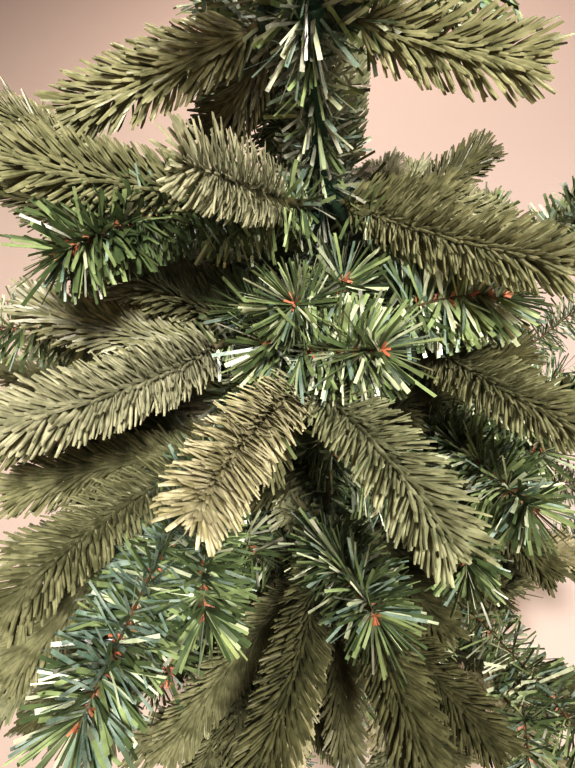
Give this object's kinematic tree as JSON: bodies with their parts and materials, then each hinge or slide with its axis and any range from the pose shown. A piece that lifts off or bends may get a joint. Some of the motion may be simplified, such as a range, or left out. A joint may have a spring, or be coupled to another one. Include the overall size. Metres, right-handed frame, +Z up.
{
  "type": "artificial christmas tree",
  "caption": "Artificial fir with a steel pole, whorls of rising boughs carrying moulded and film needle sprays, and a plain four-legged steel stand.",
  "frame": {"origin": "on the pole's axis, at the flat underside of the stand's hub, on the floor", "axes": "+Z up along the pole; -Y is the front, which faces the viewer; +X to the viewer's right"},
  "size_m": [1.1282, 1.0416, 1.55],
  "materials": {
    "needles": "matte",
    "pole_steel": "satin",
    "stand_steel": "satin",
    "foot_rubber": "matte",
    "screw_steel": "satin"
  },
  "bodies": {
    "root": {"trunk_pole": "pole_steel", "stand_hub": "stand_steel", "stand_leg_1": "stand_steel", "stand_leg_2": "stand_steel", "stand_leg_3": "stand_steel", "stand_leg_4": "stand_steel", "stand_foot_1": "foot_rubber", "stand_foot_2": "foot_rubber", "stand_foot_3": "foot_rubber", "stand_foot_4": "foot_rubber", "stand_screw": "screw_steel", "leader": "needles", "bough_1_1": "needles", "bough_1_2": "needles", "bough_1_3": "needles", "bough_1_4": "needles", "bough_1_5": "needles", "bough_2_1": "needles", "bough_2_2": "needles", "bough_2_3": "needles", "bough_2_4": "needles", "bough_2_5": "needles", "bough_3_1": "needles", "bough_3_2": "needles", "bough_3_3": "needles", "bough_3_4": "needles", "bough_3_5": "needles", "bough_3_6": "needles", "bough_4_1": "needles", "bough_4_2": "needles", "bough_4_3": "needles", "bough_4_4": "needles", "bough_4_5": "needles", "bough_4_6": "needles", "bough_4_7": "needles", "bough_5_1": "needles", "bough_5_2": "needles", "bough_5_3": "needles", "bough_5_4": "needles", "bough_5_5": "needles", "bough_5_6": "needles", "bough_6_1": "needles", "bough_6_2": "needles", "bough_6_3": "needles", "bough_6_4": "needles", "bough_6_5": "needles", "bough_6_6": "needles", "bough_7_1": "needles", "bough_7_2": "needles", "bough_7_3": "needles", "bough_7_4": "needles", "bough_7_5": "needles", "bough_7_6": "needles", "bough_8_1": "needles", "bough_8_2": "needles", "bough_8_3": "needles", "bough_8_4": "needles", "bough_8_5": "needles", "bough_8_6": "needles"}
  },
  "joints": []
}
